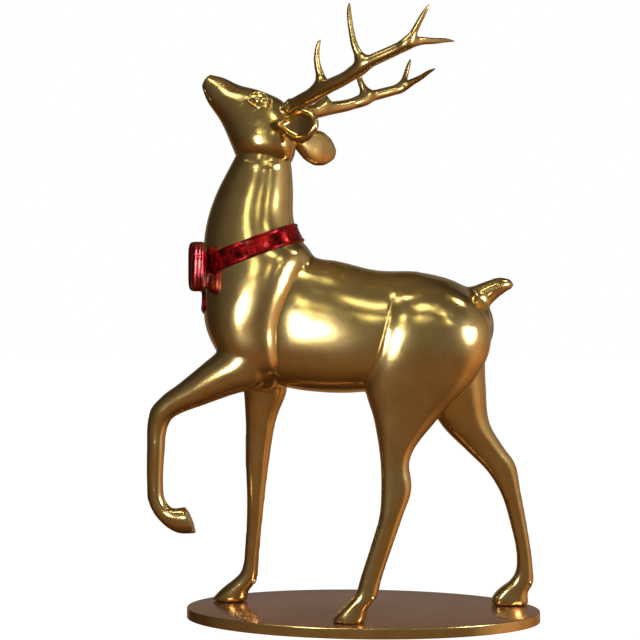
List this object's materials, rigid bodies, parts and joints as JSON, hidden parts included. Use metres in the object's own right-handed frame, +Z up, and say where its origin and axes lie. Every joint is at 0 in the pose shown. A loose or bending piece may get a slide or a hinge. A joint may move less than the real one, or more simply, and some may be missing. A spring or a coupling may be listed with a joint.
{
  "type": "stag statue",
  "caption": "Life-size gold fiberglass stag with raised head, branched antlers and one lifted foreleg, a red ribbon and bow round its neck, on an oval base plate.",
  "frame": {"origin": "middle of the oval base plate's flat underside", "axes": "+Z up; the base plate's long axis along X with the stag's head towards -X and its tail towards +X; the stag's left side, with the lifted foreleg, towards -Y"},
  "size_m": [1.9072, 1.0307, 2.9049],
  "materials": {
    "gold_paint": "soft mirror gold leaf paint over fiberglass, finely mottled",
    "base_gold": "satin bronze gold, slightly reflecting",
    "ribbon_red": "glossy candy red lacquer with darker mottling"
  },
  "bodies": {
    "root": {"base_plate": "base_gold", "stag": "gold_paint", "antler_left": "gold_paint", "antler_right": "gold_paint", "ribbon_collar": "ribbon_red", "bow": "ribbon_red"}
  },
  "joints": []
}
